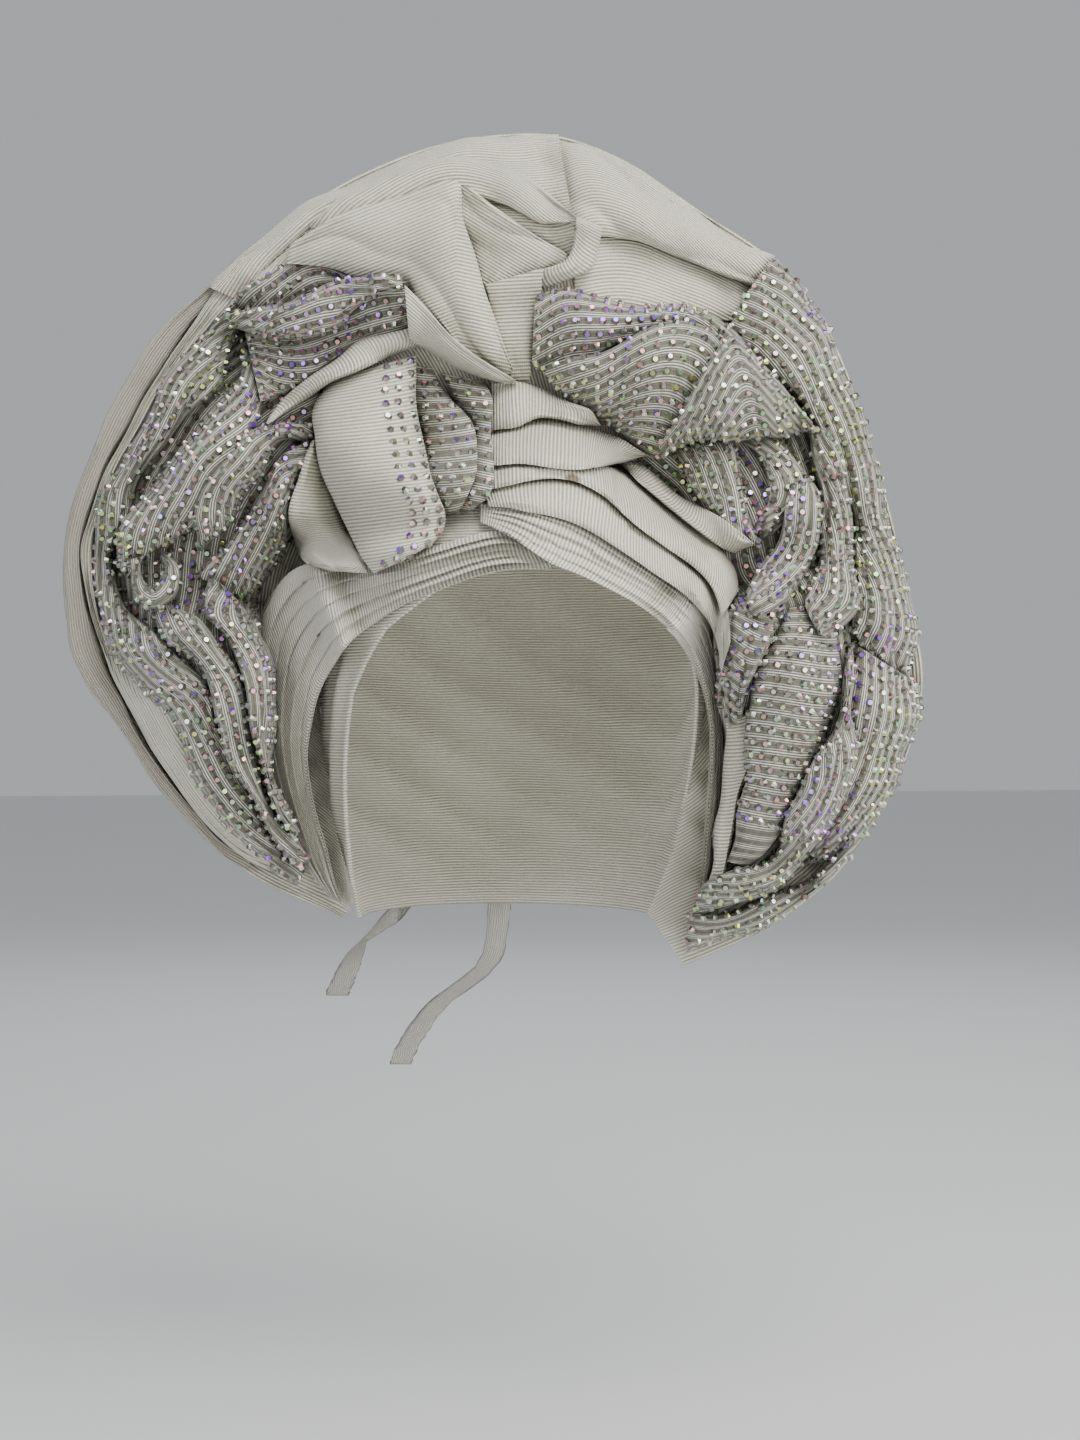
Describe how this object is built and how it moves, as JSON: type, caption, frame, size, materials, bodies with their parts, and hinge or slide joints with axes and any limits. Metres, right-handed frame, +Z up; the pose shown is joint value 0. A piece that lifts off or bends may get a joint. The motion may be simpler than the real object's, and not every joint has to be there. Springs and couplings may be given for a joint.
{
  "type": "tied gele head tie",
  "caption": "Tied gele head tie in worn form: fitted cap, pleated forehead wraps, round fan of ribbed cloth with stone-set ruffles, side knot and nape ties.",
  "frame": {"origin": "middle of the head hollow at brow height, where the wearer's head holds the wrap", "axes": "+Z up, the face side towards -Y, the wearer's left towards +X; the fan is turned 10 degrees towards -X"},
  "size_m": [0.3627, 0.2006, 0.4107],
  "materials": {
    "ivory_cloth": "ivory ribbed cotton with a slight sheen",
    "stoned_cloth": "grey-white ribbed cotton set with rows of clear iridescent stones",
    "tie_tape": "matte cotton tape"
  },
  "bodies": {
    "root": {"cap": "ivory_cloth", "crown_back": "ivory_cloth", "crown_curl": "ivory_cloth", "crown_inner": "ivory_cloth", "crown_lower": "ivory_cloth", "crown_peak": "ivory_cloth", "crown_right": "ivory_cloth", "crown_roll": "ivory_cloth", "crown_tail": "ivory_cloth", "crown_upper_fold": "ivory_cloth", "fan_back": "ivory_cloth", "front_fold_low": "ivory_cloth", "front_fold_lowest": "ivory_cloth", "front_fold_middle": "ivory_cloth", "front_fold_top": "ivory_cloth", "front_roll": "ivory_cloth", "hem_left_inner": "ivory_cloth", "hem_left_outer": "ivory_cloth", "knot_lobe": "ivory_cloth", "knot_pleat_middle": "stoned_cloth", "knot_pleat_right": "stoned_cloth", "knot_roll": "ivory_cloth", "knot_side": "ivory_cloth", "left_flap": "stoned_cloth", "left_flap_under": "stoned_cloth", "left_pleat_a": "stoned_cloth", "left_pleat_b": "stoned_cloth", "left_pleat_outer": "stoned_cloth", "left_ridge_a": "stoned_cloth", "left_ridge_b": "stoned_cloth", "left_ruffle_back": "stoned_cloth", "left_ruffle_large": "stoned_cloth", "left_swirl": "stoned_cloth", "right_arch": "stoned_cloth", "right_bowl": "stoned_cloth", "right_flap": "stoned_cloth", "right_fold_a": "stoned_cloth", "right_fold_b": "stoned_cloth", "right_fold_c": "stoned_cloth", "right_fold_low": "ivory_cloth", "right_hem_low": "stoned_cloth", "right_lower": "stoned_cloth", "right_outer": "stoned_cloth", "right_patch": "stoned_cloth", "right_pleat_inner": "stoned_cloth", "right_pleat_middle": "stoned_cloth", "right_pleat_outer": "stoned_cloth", "tie_knot": "tie_tape", "tie_left": "tie_tape", "tie_right": "tie_tape", "underfold_left": "stoned_cloth", "underfold_right": "stoned_cloth", "underfold_top": "ivory_cloth", "wrap_left": "ivory_cloth", "wrap_right": "ivory_cloth"}
  },
  "joints": []
}
